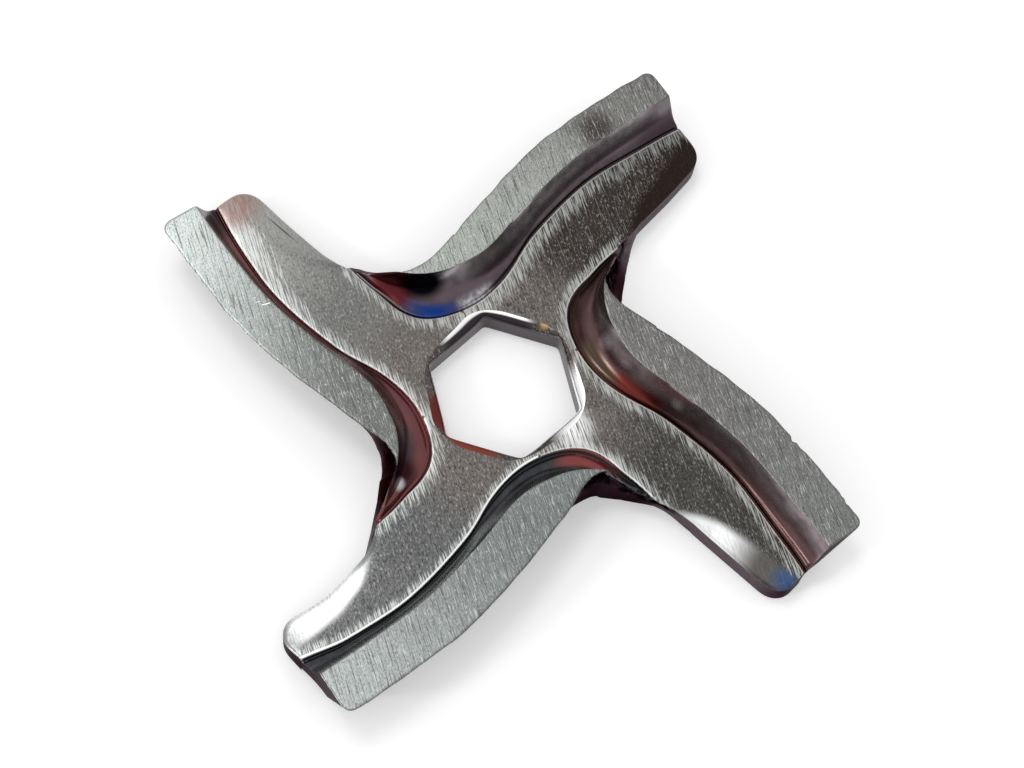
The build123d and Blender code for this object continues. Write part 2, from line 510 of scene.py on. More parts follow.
# %% The body face
SEAM = int(np.argmin(np.linalg.norm(FOOT, axis=1)))      # where the groove is nearest to the axis
COLLAR = 5.1             # circle round the drive hole where the arms' skins end
HOLE_STEPS = 240         # points round that circle


def hub_arc():
    """The arm's quarter of the collar circle, from its own seam back to the one behind."""
    start = math.atan2(FOOT[SEAM][1], FOOT[SEAM][0])
    turn = np.linspace(0, 2 * math.pi / ARMS, HOLE_STEPS // ARMS + 1)
    return np.stack([np.cos(start - turn), np.sin(start - turn)], axis=1) * COLLAR


def body_face(skin):
    """The lower face of the arm with its quarter of the hub."""
    behind = turned(FOOT, -1)
    border = np.vstack([BACK[:-1], FOOT[:SEAM + 1], hub_arc(), behind[SEAM:-1]])
    points, faces = fill(border, body_z, BODY_ROWS, FILL_STEP)
    rim = nearest(points, FEET[:2])
    skin.add(points, faces, BODY_ZONE, rim=rim, own=distance(points, FOOT), facet=facet_fall(points),
             drift=body_drift(points))


body_face(arm_skin)
print("with the body face:", len(arm_skin.faces), "faces")

# %% The side wall and the back
WALL_ROWS = 17           # points down the wall
BACK_ROWS, BACK_STEP = (0.08, 0.17, 0.4), 0.7            # as on the front, but coarser


def outline_top():
    """The arm's share of the wall's upper line: plan, height and drift."""
    flank_end = np.linspace(FOOT[0], INNER[0], FLANK_COLUMNS)
    root_end = np.linspace(INNER[-1], FOOT[-1], FLANK_COLUMNS)
    shares = np.interp(np.linspace(0, 1, FLANK_COLUMNS), *zip(*FLANK))
    zs = []
    for k in (0, -1):
        top, bottom = strip_z([INNER[k]])[0], body_z([FOOT[k]])[0]
        zs.append(bottom + (top - bottom) * shares)
    ones = np.ones(FLANK_COLUMNS)
    parts = [(BACK[:-1], body_z(BACK[:-1]), body_drift(BACK[:-1])),
             (flank_end[:-1], zs[0][::-1][:-1], ones[:-1]),
             (STRIP_END, strip_z(STRIP_END), strip_drift(STRIP_END)),
             (CUTTING[:-1], strip_z(CUTTING[:-1]), strip_drift(CUTTING[:-1])),
             (root_end, zs[1], ones)]
    return np.vstack([np.column_stack(p) for p in parts])


def wall_foot(top):
    """Where the wall meets the back face, for each point of its upper line."""
    foot = top[:, :2].copy()
    first = len(BACK) - 1
    fade = np.interp(foot[:first, 0], (BACK[0][0], BACK_START * HUB_RADIUS), (FOOT_SHIFT[-1][2], 0))
    foot[:first, 1] -= fade * ROOT_FLARE
    ahead = np.clip((foot[:, 1] - BACK_OFFSET) / (TIP_FRONT - BACK_OFFSET), 0, 1)
    at_tip = slice(first, first + FLANK_COLUMNS - 1 + len(STRIP_END))
    foot[at_tip, 1] -= ahead[at_tip] * RELIEF
    foot[at_tip, 0] -= ahead[at_tip] * TIP_SETBACK
    edge = slice(at_tip.stop, len(foot))
    s = lengths(foot[edge])
    way, relief, flare = (np.array(v) for v in zip(*FOOT_SHIFT))
    foot[edge, 0] += np.interp(s / s[-1], way, flare) * ROOT_FLARE
    foot[edge, 0] -= TIP_SETBACK * eased(1 - s / SETBACK_RUN)
    foot[edge, 1] -= np.interp(s / s[-1], way, relief) * RELIEF
    return foot


def side_wall(skin):
    """The sheared wall from the upper line to the back face's edge."""
    top = outline_top()
    foot = np.column_stack([wall_foot(top), np.full(len(top), BACK_LIP[0])])
    v = np.linspace(0, 1, WALL_ROWS)[:, None, None]
    places = top[None, :, :3] * (1 - v) + foot[None] * v
    skin.grid(places, WALL_ZONE, across=v[..., 0], drift=top[None, :, 3] * (1 - v[..., 0]))
    return foot[:, :2]


def back_face(skin, foot):
    """The flat back, with its quarter of the hub."""
    border = np.vstack([foot, hub_arc()])
    rim = np.vstack([foot, turned(foot)[:40]])           # with the start of the next arm's
    points, faces = fill(border, lambda p: lip(distance(p, rim), BACK_LIP), BACK_ROWS, BACK_STEP)
    skin.add(points, faces, BACK_ZONE)


back_face(arm_skin, side_wall(arm_skin))
print("one arm:", len(arm_skin.points), "points,", len(arm_skin.faces), "faces")

# %% [markdown]
# ## The drive hole
#
# The hole is a ring of its own, because it belongs to the whole knife and not to one arm. Its rows run
# from the collar circle over the rolled mouth, down the hexagon and out at the back. The mouth's brim is
# a hexagon too, with corners so round that it is nearly a circle.

# %% The ring round the drive hole
MOUTH_ROLL = 0.42        # how deep the face rolls over into the hole
MOUTH_ROWS, BORE_ROWS = 15, 9            # points down the mouth and down the hole
BORE_FOOT = 0.08         # height where the hole begins to open at the back
BORE_EXIT = [(0.02, 0.03), (0.07, 0.0)]  # its rows from there on: widening and height


def hexagon(angles, flats, corner):
    """Distance from the axis to a rounded hexagon in the given directions."""
    out = []
    for angle in angles:
        off = (angle - math.radians(BORE_TURN) + math.pi / 6) % (math.pi / 3) - math.pi / 6
        apothem = flats / 2
        inset = apothem - corner
        run = inset * math.tan(math.pi / 6)
        straight = apothem / math.cos(off)
        if straight * math.sin(abs(off)) <= run:
            out.append(straight)
        else:
            away, side = inset / math.cos(math.pi / 6), abs(off) - math.pi / 6
            out.append(away * math.cos(side) + math.sqrt(corner ** 2 - (away * math.sin(side)) ** 2))
    return np.array(out)


def drive_hole(skin):
    """From the collar at the front face, over the rolled mouth and down to the collar at the back."""
    start = math.atan2(FOOT[SEAM][1], FOOT[SEAM][0])
    angles = start - np.linspace(0, 2 * math.pi, HOLE_STEPS, endpoint=False)
    hexes = hexagon(angles, BORE_FLATS, BORE_CORNER)
    brim = hexagon(angles, MOUTH, MOUTH_CORNER)

    def ring(radius, z):
        height = np.full(len(angles), z)
        return np.stack([np.cos(angles) * radius, np.sin(angles) * radius, height], axis=1)

    def place(rows, zone):
        rows = np.array(rows)
        flat = rows.reshape(-1, 3)
        rim = nearest(flat, FEET).reshape(rows.shape[:2])
        share = body_drift(flat).reshape(rows.shape[:2]) * np.clip(rows[..., 2] / PLATE, 0, 1)
        skin.grid(rows, zone, closed=True, rim=rim, drift=share)

    mouth = []
    for t in np.linspace(0, 1, MOUTH_ROWS) ** 0.8:       # closer together near the hole
        roll = 1 - math.sqrt(1 - t * t)
        mouth.append(ring(hexes + (1 - t) * (brim - hexes), PLATE - MOUTH_ROLL * roll))
    wall = [ring(hexes, z) for z in np.linspace(PLATE - MOUTH_ROLL, BORE_FOOT, BORE_ROWS)]
    back = [ring(hexes + wider, z) for wider, z in BORE_EXIT] + [ring(COLLAR, 0.0)]
    place([ring(COLLAR, PLATE), mouth[0]], BODY_ZONE)
    place(mouth, MOUTH_ZONE)
    place(wall, BORE_ZONE)
    place(wall[-1:] + back, BACK_ZONE)


hole_skin = Skin()
drive_hole(hole_skin)
print("drive hole:", len(hole_skin.faces), "faces")

# %% [markdown]
# ## Finishes
#
# All of it is hardened steel, but each surface kept the marks of its last operation, so each zone gets
# a finish of its own. A metal shows its base colour in what it mirrors, so a finish is a base colour, a
# roughness and sometimes a fine relief. Each is built the same way: a tone for the whole surface, then
# layers with masks over it, and many of those layers are painted reflections, highlights and shade. They
# are worked out from the place on the knife, so nothing is unwrapped.

# %% Colours as they are seen
def srgb(code):
    """Linear colour from an sRGB hex code."""
    parts = [int(code[i:i + 2], 16) / 255 for i in (1, 3, 5)]
    return tuple(c / 12.92 if c <= 0.04045 else ((c + 0.055) / 1.055) ** 2.4 for c in parts) + (1.0,)


print("ground steel #aaaea9 is", [round(c, 3) for c in srgb("#aaaea9")])

# %% One node
def feed(tree, made, feeds):
    """Give a node its inputs: a link, a colour as a hex code, a list by arm, or a plain value."""
    for socket, given in feeds.items():
        if isinstance(given, list):
            given = by_arm(tree, given)
        if isinstance(given, bpy.types.NodeSocket):
            tree.links.new(given, made.inputs[socket])
        elif isinstance(given, str) and given.startswith("#"):
            made.inputs[socket].default_value = srgb(given)
        else:
            made.inputs[socket].default_value = given


def node(tree, kind, feeds=None, **settings):
    """Add one node with its settings and what feeds its inputs."""
    made = tree.nodes.new(kind)
    for name, value in settings.items():
        setattr(made, name, value)
    feed(tree, made, feeds or {})
    return made


# %% Patterns in millimetres
GRIND = 60.0             # heading of the belt's lines in degrees, one for the whole knife


def millimetres(tree):
    """Place on the knife in millimetres, worked out once in each tree."""
    if "millimetres" not in tree.nodes:
        place = node(tree, "ShaderNodeTexCoord").outputs["Object"]
        node(tree, "ShaderNodeVectorMath", {0: place, "Scale": 1 / MM}, operation="SCALE",
             name="millimetres")
    return tree.nodes["millimetres"].outputs[0]


def grain(tree, length, width, detail=2.0, heading=GRIND):
    """Noise that is drawn out along a heading; its length and width are in millimetres."""
    ahead = node(tree, "ShaderNodeVectorRotate", {0: millimetres(tree), "Angle": -math.radians(heading)},
                 rotation_type="Z_AXIS").outputs[0]
    sized = node(tree, "ShaderNodeVectorMath", {0: ahead, 1: (1 / length, 1 / width, 1 / width)},
                 operation="MULTIPLY").outputs[0]
    return node(tree, "ShaderNodeTexNoise",
                {"Vector": sized, "Scale": 1.0, "Detail": detail, "Roughness": 0.6}).outputs[0]


print("the belt ran at", GRIND, "degrees to the first arm")

# %% Layers and their masks
AXIS = (0, 0, 0)         # the place from which distances to the middle are taken


def mask(tree, *terms):
    """How strongly a layer shows: all its terms multiplied together.

    A term is a number, a list of one for each arm, a value, or the name of one that the mesh carries.
    As (term, start, end) it is a smooth step from 0 at the start to 1 at the end. A place instead of a
    value stands for the distance from it, so (place, radius, core) is a soft round spot.
    """
    result = None
    for term in terms:
        step = isinstance(term, tuple)
        value, *limits = term if step else (term,)
        if isinstance(value, str):
            value = node(tree, "ShaderNodeAttribute", attribute_name=value).outputs["Fac"]
        if isinstance(value, tuple):
            value = node(tree, "ShaderNodeVectorMath", {0: millimetres(tree), 1: value},
                         operation="DISTANCE").outputs["Value"]
        if step:
            value = node(tree, "ShaderNodeMapRange", {0: value, 1: limits[0], 2: limits[1]},
                         interpolation_type="SMOOTHSTEP").outputs[0]
        if result is not None:
            value = node(tree, "ShaderNodeMath", {0: result, 1: value}, operation="MULTIPLY").outputs[0]
        result = value
    return result


def layered(tree, base, layers):
    """Colours over a base, one after another; a layer is the terms of its mask and its colour."""
    for *terms, over in layers:
        base = node(tree, "ShaderNodeMix", {0: mask(tree, *terms), 6: base, 7: over},
                    data_type="RGBA").outputs[2]
    return base


# %% What differs from arm to arm
def by_arm(tree, choices):
    """One colour or one number for each arm, from the arm's stored number."""
    number = mask(tree, "arm")
    share = node(tree, "ShaderNodeMath", {0: number, 1: 1 / ARMS, 2: 0.5 / ARMS},
                 operation="MULTIPLY_ADD").outputs[0]
    ramp = node(tree, "ShaderNodeValToRGB", {0: share})
    stops = ramp.color_ramp.elements
    ramp.color_ramp.interpolation = "CONSTANT"
    for i, choice in enumerate(choices):
        stop = stops[i] if i < 2 else stops.new(i / ARMS)
        stop.position = i / ARMS
        stop.color = srgb(choice) if isinstance(choice, str) else (choice, choice, choice, 1)
    return ramp.outputs[0]


# %% A metal finish
FINISHES = []            # in the order of the zones


def finish(name):
    """Start the next zone's finish."""
    material = bpy.data.materials.new(name)
    material.use_nodes = True
    FINISHES.append(material)
    return material.node_tree


def steel(tree, colour, roughness, relief=None, height=0.0, edge_tint="#ffffff"):
    """Metal with a base colour, a roughness and a relief whose height is in millimetres."""
    feeds = {"Metallic": 1.0, "Base Color": colour, "Roughness": roughness, "Specular Tint": edge_tint}
    if relief is not None:
        feeds["Normal"] = node(tree, "ShaderNodeBump", {"Height": relief, "Distance": height * MM,
                                                        "Strength": 1.0}).outputs[0]
    feed(tree, tree.nodes["Principled BSDF"], feeds)
    print("finish:", FINISHES[-1].name, "with", len(tree.nodes), "nodes")


# %% [markdown]
# ### The strips: belt-ground steel
#
# A grinding belt left the strips light and satin, with parallel lines that all run one way, whichever
# way the arm points. Real lines are a few hundredths of a millimetre wide. Here they are up to 0.1 mm,
# as coarse as they need to be to show. Noise that is drawn out along the belt's heading does this with
# one rule for all the arms. Fine mottle breaks up the sheen. Each arm's tone runs from one value at the
# root to another at the tip: partly painted light, as each arm lies differently to the light, and partly
# how differently each arm was ground.

# %% Belt-ground steel of the strips
tree = finish("belt-ground steel")
coarse, fine = grain(tree, 2.6, 0.10), grain(tree, 0.9, 0.05)
mottle = grain(tree, 0.16, 0.10, detail=3.0)
# Each arm's tone from root to tip: partly painted light, as each arm lies differently to the light, and
# partly how it was ground.
tone = layered(tree, ["#aaaea9", "#707270", "#7c8180", "#7a7876"], [
    ((AXIS, 10, 24), ["#7d7b79", "#d0d8d5", "#a4a9a7", "#828481"]),
    (((16.4, 7.1, 4.0), 2.0, 0.4), "#4d4644")])
colour = layered(tree, tone, [
    ((mottle, 0.52, 0.30), 0.65, "#4f4f4d"),
    ((coarse, 0.50, 0.34), 0.75, "#565652"),
    ((fine, 0.55, 0.72), 0.70, "#e6ebe8"),
    ((mottle, 0.60, 0.72), 0.60, "#e2e7e4"),
    (("rim", 0.10, 0.04), (mottle, 0.35, 0.55), 0.8, "#3f3e3d"),
    (((-6.6, 14.1, 4.0), 0.7, 0.49), (grain(tree, 1.2, 0.12, heading=150), 0.57, 0.62), "#ffffff")])
rough = node(tree, "ShaderNodeMapRange", {0: fine, 1: 0.3, 2: 0.7, 3: 0.34, 4: 0.46},
             interpolation_type="SMOOTHSTEP").outputs[0]
steel(tree, colour, rough, coarse, 0.006)

# %% [markdown]
# ### The hollow flanks: smooth steel with painted reflections
#
# No belt reached the hollow flanks, so they kept the smooth skin of heat treatment. A smooth metal looks
# like what it mirrors, so the tone is a painted reflection: it goes from the light upper part to a dark
# crevice at the foot, which is painted shade, by the share of the way across that the mesh carries. The
# maroon, brown, blue and black patches are painted reflections and the white spots painted highlights,
# all soft spots at their places.

# %% Smooth steel of the hollow flanks, with painted reflections and shade
tree = finish("flank steel with painted reflections")
# Painted reflection: each arm's tones from the light upper part through the middle and lower part to the
# crevice, which is painted shade. The arms differ, as each mirrors another part of the room.
upper = ["#beb6ba", "#946a6b", "#55565a", "#978b8f"]
middle = ["#685a62", "#835859", "#54545a", "#735a5c"]
lower = ["#52474d", "#74494c", "#4a4c4f", "#3a2826"]
crevice = ["#463c40", "#704444", "#2e3033", "#2c1c19"]
# Noise blotches in a tone for each arm.
blotch_tones = ["#6c6266", "#7c4c4c", "#2f3134", "#54403e"]
# Light specks for the painted glint along the pocket's foot.
flecks = node(tree, "ShaderNodeMapRange", {0: grain(tree, 0.5, 0.3), 1: 0.30, 2: 0.70, 3: 0.25, 4: 0.8},
              interpolation_type="SMOOTHSTEP").outputs[0]
colour = layered(tree, upper, [
    (("across", 0.22, 0.45), middle),
    (("across", 0.55, 0.75), lower),
    ((grain(tree, 1.6, 0.9), 0.35, 0.65), 0.5, blotch_tones),
    # Painted reflections in the pocket by the hub: maroon, black and dark purple.
    (((-0.3, 9.4, 2.4), 2.0, 1.0), "#5c272b"),
    (((1.6, 8.5, 2.8), 1.9, 1.045), "#0a090f"),
    (((3.2, 8.6, 3.2), 1.5, 0.45), "#241c26"),
    (((4.3, 8.0, 2.8), 2.0, 0.6), 0.8, "#3a2f39"),
    # Painted reflections elsewhere: olive and red patches, darker patches at roots and tips, and a small
    # light spot that is a painted highlight.
    (((5.0, -3.2, 2.2), 2.2, 1.1), ("across", 0.48, 0.62), "#54453b"),
    (((5.2, -6.3, 2.3), 2.2, 1.1), ("across", 0.38, 0.50), "#6a302a"),
    (((-0.3, -7.2, 2.0), 2.6, 1.3), ("across", 0.48, 0.65), "#8c4c4a"),
    (((-7.8, 1.8, 2.8), 2.4, 0.48), ("across", 0.78, 0.62), "#453d43"),
    (((-8.6, 0.8, 2.1), 1.4, 0.42), "#33191d"),
    (((-4.4, 21.4, 3.0), 3.2, 1.28), "#35262a"),
    (((20.8, 4.2, 3.0), 3.8, 1.52), 0.75, "#3b3037"),
    (((-9.3, 0.4, 2.0), 0.6, 0.18), "#c4c2c6"),
    # Painted shade in the crevice at the flank's foot, then a painted blue reflection in the pocket.
    (("across", 0.87, 0.93), crevice),
    (((1.0, 6.9, 2.0), 2.3, 0.345), ("across", 0.64, 0.84), "#173d86"),
    # Painted highlights: two white spots, and a painted glint of light specks along the pocket's foot.
    (((6.2, -8.7, 3.0), 0.7, 0.07), 0.9, "#ffffff"),
    (((6.1, -2.7, 3.0), 0.8, 0.08), 0.6, "#e4dedf"),
    (((3.2, 5.5, 2.0), 1.7, 0.51), ("across", 0.60, 0.85), flecks, "#d2d0d6")])
steel(tree, colour, 0.26)

# %% [markdown]
# ### The body: tumbled steel
#
# Tumbling left the body darker and speckled, with grains of about 0.15 mm. Where the belt only just
# touched it, light streaks run in from the grooves. How far they reach depends on the streak itself and
# on the arm, so the streaked border comes out ragged. The facet along the back edge has a painted
# reflection of another part of the room, from white to nearly black, and the thin lip beside each groove
# is a painted highlight. Each arm's tone is partly painted light.

# %% Tumbled steel of the body
tree = finish("tumbled steel")
rim, facet = mask(tree, "rim"), mask(tree, "facet")
speck, streak = grain(tree, 0.20, 0.11, detail=3.0), grain(tree, 1.5, 0.09)
hair = grain(tree, 2.2, 0.05)
outer = (AXIS, 11, 20)
# Each arm's tone, from the hub out to the tip, is partly painted light, lighter on the arms on the side
# where the light falls, and partly the arm's own tone.
tone = layered(tree, "#6b6562", [
    ((AXIS, 6.5, 10.5), ["#3f3936", "#727270", "#626363", "#4b4946"]),
    (outer, ["#3a3330", "#a5a5a2", "#6a6b6b", "#4a4845"])])
width = layered(tree, [0.70, 0.50, 0.50, 0.55], [
    (outer, [0.65, 1.25, 0.50, 0.60])])
strength = layered(tree, [0.60, 0.60, 0.75, 0.65], [
    (outer, [0.38, 1.0, 0.80, 0.65])])
reach = node(tree, "ShaderNodeMath", {0: streak, 1: 3.4, 2: -0.8}, operation="MULTIPLY_ADD").outputs[0]
near = node(tree, "ShaderNodeMath", {0: mask(tree, reach, width), 1: rim},
            operation="SUBTRACT").outputs[0]
# Painted reflection: each arm's facet mirrors another part of the room, from nearly black to white, with
# a white patch on one arm and a grey end and blue spot at another's tip.
facet_reflection = layered(tree, ["#2c2421", "#d6d8d4", "#a2a6a4", "#fbfcfc"], [
    (((-17.4, -1.7, 1.8), 3.4, 1.87), "#ffffff"),
    (((2.5, -20.6, 1.7), 4.6, 1.84), "#5c5856"),
    (((2.3, -20.7, 1.75), 1.3, 0.13), "#3a5580")])
CRACK, CRACK_STRETCH = (-1.8, 17.3), (14, 0.6)      # middle of a fine crack, and how narrow it is
stretched = node(tree, "ShaderNodeVectorMath", {0: millimetres(tree), 1: CRACK_STRETCH + (0,)},
                 operation="MULTIPLY").outputs[0]
middle = tuple(at * by for at, by in zip(CRACK, CRACK_STRETCH)) + (0,)
from_crack = node(tree, "ShaderNodeVectorMath", {0: stretched, 1: middle},
                  operation="DISTANCE").outputs["Value"]
# The distance to the arm's own groove, scaled for each arm, for the painted highlight on the lip beside
# it.
lip_highlight = mask(tree, "own", [2.6, 9.0, 1.25, 2.2])
colour = layered(tree, tone, [
    ((speck, 0.50, 0.34), [0.7, 0.45, 0.65, 0.7], "#2b2725"),
    ((speck, 0.56, 0.70), 0.55, "#b4b4af"),
    ((hair, 0.56, 0.72), [0.5, 0.25, 0.45, 0.5], "#b4b4af"),
    ((facet, 0.01, 0.10), [0.92, 0.22, 0.92, 0.9], facet_reflection),
    ((facet, 0.225, 0.265), [0.4, 0.0, 0.0, 0.75], "#37332f"),
    ((facet, 0.05, 0.12), (streak, 0.50, 0.40), outer, [0.0, 0.3, 0.35, 0.3], "#6d716f"),
    ((from_crack, 1.0, 0.4), 0.8, "#4a3c38"),
    ((near, -0.3, 0.3), (streak, 0.40, 0.58), strength, "#d4d9d5"),
    # A painted rosy reflection on the facet at one arm's tip.
    (((-2.7, 20.6, 1.8), 2.4, 0.72), 0.6, "#a87a70"),
    # Painted highlights: the lip beside the grooves, a white patch by the hole that goes on from the
    # mouth's white crescent, and the lip beside each arm's own groove.
    ((rim, 0.16, 0.08), [0.55, 0.3, 0.35, 0.5], "#f2f0ee"),
    (((0.8, -4.9, 1.9), 1.9, 0.19), (streak, 0.35, 0.55), "#f6f8f6"),
    ((lip_highlight, 0.26, 0.16), ["#aeaba8", "#e6e9e6", "#ffffff", "#efe4da"])])
rough = node(tree, "ShaderNodeMapRange", {0: facet, 1: 0.01, 2: 0.08, 3: 0.42, 4: 0.30},
             interpolation_type="SMOOTHSTEP").outputs[0]
steel(tree, colour, rough, speck, 0.008)

# %% [markdown]
# ### The walls: sheared steel
#
# The press sheared the outline, which leaves a rough purple-grey wall. Heat treatment covered it with
# scale, and scale doesn't shine when it is seen edge-on as bare metal does, so these walls get an edge
# tint as well. It is darkest in the notches and at the ends, and in one notch it has a painted maroon
# reflection. Where the steel was torn instead of cut, the wall is nearly black.

# %% Sheared steel of the walls
tree = finish("sheared steel")
inside, end = ((AXIS, 13.2, 10.8), 0.85), ((AXIS, 19.0, 21.5), 0.80)
# A painted maroon reflection in one notch, in the colour and in the edge tint.
maroon = ((-9.8, 1.8, 2.2), 2.6, 1.3)
torn_away = ("torn", (grain(tree, 1.1, 0.7, detail=3.0), 0.60, 0.45))
colour = layered(tree, "#645b60", [
    ((grain(tree, 0.7, 0.25), 0.5, 0.3), 0.6, "#3a3337"),
    (*inside, "#33272c"), (*end, "#3b3338"), (maroon, "#351a1f"), (*torn_away, "#1d181b")])
edge_tint = layered(tree, "#c8c0c4", [
    (*inside, "#94888e"), (*end, "#8e8288"), (maroon, "#8a4c56"), (*torn_away, "#3a3236")])
steel(tree, colour, 0.36, grain(tree, 0.5, 0.3), 0.02, edge_tint)

# %% [markdown]
# ### The back, the drive hole and its mouth
#
# The back is as the blank came from the press: dull, with a few drawn-out marks. The hole was broached,
# so its walls are even and dark. Its mouth was rolled over, which left it smooth, so its colour holds a
# painted reflection of the room: a white crescent and a white brim as painted highlights, a dark patch
# below the brim, and red and gold spots.

# %% Blanked steel of the back
tree = finish("blanked steel")
colour = layered(tree, "#77756f", [((grain(tree, 2.4, 0.12), 0.5, 0.3), 0.6, "#4b4946"),
                                   ((grain(tree, 0.3, 0.1), 0.58, 0.7), 0.7, "#b4b4af")])
steel(tree, colour, 0.42)

# %% Broached steel of the drive hole
tree = finish("broached steel")
steel(tree, layered(tree, "#4a4248", [((grain(tree, 0.5, 0.3), 0.5, 0.3), 0.5, "#342d32")]), 0.3)

# %% Rolled steel of the mouth, with painted reflections and highlights
tree = finish("mouth steel with painted reflections")
speck = grain(tree, 0.16, 0.12, detail=3.0)
height = node(tree, "ShaderNodeSeparateXYZ", {0: millimetres(tree)}).outputs["Z"]
colour = layered(tree, "#5e5856", [
    ((speck, 0.50, 0.34), 0.7, "#2f2a28"),
    ((speck, 0.56, 0.70), 0.8, "#a9a9a4"),
    # Painted reflection of the room: a dark patch on the upper side under the white brim, the brim and a
    # white crescent as painted highlights, red spots on one side and a gold spot at the brim's end.
    (((2.4, 4.0, 1.6), 3.6, 2.52), "#3b3438"),
    (((2.6, 4.4, 1.8), 3.6, 2.52), (height, 1.855, 1.89), "#ffffff"),
    (((2.2, -4.2, 1.6), 3.2, 1.6), "#ffffff"),
    (((-3.9, 1.6, 1.5), 1.9, 0.76), "#6a3330"),
    (((-4.2, -1.2, 1.5), 2.2, 0.88), "#8a4538"),
    (((4.7, 0.95, 1.8), 0.38, 0.114), "#a88b5e")])
steel(tree, colour, 0.27)

# %% [markdown]
# ## Four arms from one
#
# Geometry Nodes copies the arm round the drive axis. Each copy is an instance that is turned by its own
# index and then made real, with the arm's number stored on it for the finishes. The ring is joined and
# the borders are welded, and every zone gets its finish. Copying in Python would do as well, but here
# the number of arms is one input of one tree.

# %% The node tree
def arms_tree(finishes):
    tree = bpy.data.node_groups.new("arms round an axis", "GeometryNodeTree")
    face = tree.interface
    inputs = {"Arm": "Geometry", "Arms": "Int", "Ring": "Object", "Weld": "Float"}
    sockets = {name: face.new_socket(name, in_out="INPUT", socket_type="NodeSocket" + kind).identifier
               for name, kind in inputs.items()}
    face.new_socket("Knife", in_out="OUTPUT", socket_type="NodeSocketGeometry")
    given = tree.nodes.new("NodeGroupInput").outputs
    one = node(tree, "GeometryNodeGeometryToInstance", {0: given["Arm"]}).outputs[0]
    copies = node(tree, "GeometryNodeDuplicateElements", {"Geometry": one, "Amount": given["Arms"]},
                  domain="INSTANCE").outputs["Geometry"]
    index = node(tree, "GeometryNodeInputIndex").outputs[0]
    pitch = node(tree, "ShaderNodeMath", {0: 2 * math.pi, 1: given["Arms"]},
                 operation="DIVIDE").outputs[0]
    angle = node(tree, "ShaderNodeMath", {0: index, 1: pitch}, operation="MULTIPLY").outputs[0]
    turn = node(tree, "ShaderNodeCombineXYZ", {"Z": angle}).outputs[0]
    spun = node(tree, "GeometryNodeRotateInstances", {"Instances": copies, "Rotation": turn}).outputs[0]
    named = node(tree, "GeometryNodeStoreNamedAttribute",
                 {"Geometry": spun, "Name": "arm", "Value": index},
                 data_type="FLOAT", domain="INSTANCE").outputs[0]
    real = node(tree, "GeometryNodeRealizeInstances", {0: named}).outputs[0]
    hole = node(tree, "GeometryNodeObjectInfo", {"Object": given["Ring"]}).outputs["Geometry"]
    joined = node(tree, "GeometryNodeJoinGeometry", {0: hole})
    feed(tree, joined, {0: real})
    welded = node(tree, "GeometryNodeMergeByDistance",
                  {"Geometry": joined.outputs[0], "Distance": given["Weld"]}).outputs[0]
    zone = node(tree, "GeometryNodeInputNamedAttribute", {"Name": "zone"},
                data_type="INT").outputs["Attribute"]
    last = node(tree, "GeometryNodeRealizeInstances", {0: welded}).outputs[0]
    for number, material in enumerate(finishes):
        same = node(tree, "FunctionNodeCompare", {2: zone, 3: number}, data_type="INT",
                    operation="EQUAL").outputs[0]
        last = node(tree, "GeometryNodeSetMaterial",
                    {"Geometry": last, "Selection": same, "Material": material}).outputs[0]
    node(tree, "NodeGroupOutput", {0: last})
    return tree, sockets


# %% The knife as one mesh
WELD = 0.004             # points of neighbouring zones that are nearer than this become one


def as_object(name, mesh):
    made = bpy.data.objects.new(name, mesh)
    bpy.context.scene.collection.objects.link(made)
    return made


arm = as_object("knife_arm", arm_skin.mesh("knife_arm"))
ring = as_object("hole_ring", hole_skin.mesh("hole_ring"))
tree, sockets = arms_tree(FINISHES)
maker = arm.modifiers.new("four arms", "NODES")
maker.node_group = tree
for name, value in (("Arms", ARMS), ("Ring", ring), ("Weld", WELD * MM)):
    maker[sockets[name]] = value
arm.update_tag()
graph = bpy.context.evaluated_depsgraph_get()
graph.update()
mesh = bpy.data.meshes.new_from_object(arm.evaluated_get(graph), preserve_all_data_layers=True,
                                       depsgraph=graph)
mesh.name = "meat_grinder_knife_visual"
arm.modifiers.remove(maker)
for spare in (arm, ring):
    bpy.data.objects.remove(spare)
knife = as_object("meat_grinder_knife_visual", mesh)
print("knife mesh:", len(mesh.vertices), "points,", len(mesh.polygons), "faces")

# %% One closed skin with outward faces and crisp edges
CRISP = math.radians(34)         # an edge that turns by more than this stays sharp
NO_LENGTH = 0.0000005            # edges shorter than this, in metres, are taken out
bm = bmesh.new()
bm.from_mesh(mesh)
bmesh.ops.dissolve_degenerate(bm, dist=NO_LENGTH, edges=bm.edges[:])
bmesh.ops.delete(bm, geom=[v for v in bm.verts if not v.link_faces], context="VERTS")
bmesh.ops.recalc_face_normals(bm, faces=bm.faces[:])
open_edges = [e for e in bm.edges if len(e.link_faces) != 2]
for edge in bm.edges:
    edge.smooth = len(edge.link_faces) == 2 and edge.calc_face_angle(0) < CRISP
for face in bm.faces:
    face.smooth = True
print("open edges:", len(open_edges), "volume mm3:", round(bm.calc_volume() / MM ** 3, 1))
bm.to_mesh(mesh)
bm.free()
mesh.materials.pop(index=0)      # the empty slot in front of the finishes

# %% [markdown]
# ## What makes each arm its own
#
# The press set the groove pattern a little off the centre of the outline and the hole, so the strips
# are not equally wide. Each point knows how far it follows the pattern, and moves by that share. The
# back corners of the tips don't lie quite alike, the belt left every cutting edge slightly wavy, and
# one of them has nicks. Four separate arms could be modelled instead, but moving the points of four
# equal ones keeps the design and the wear apart.

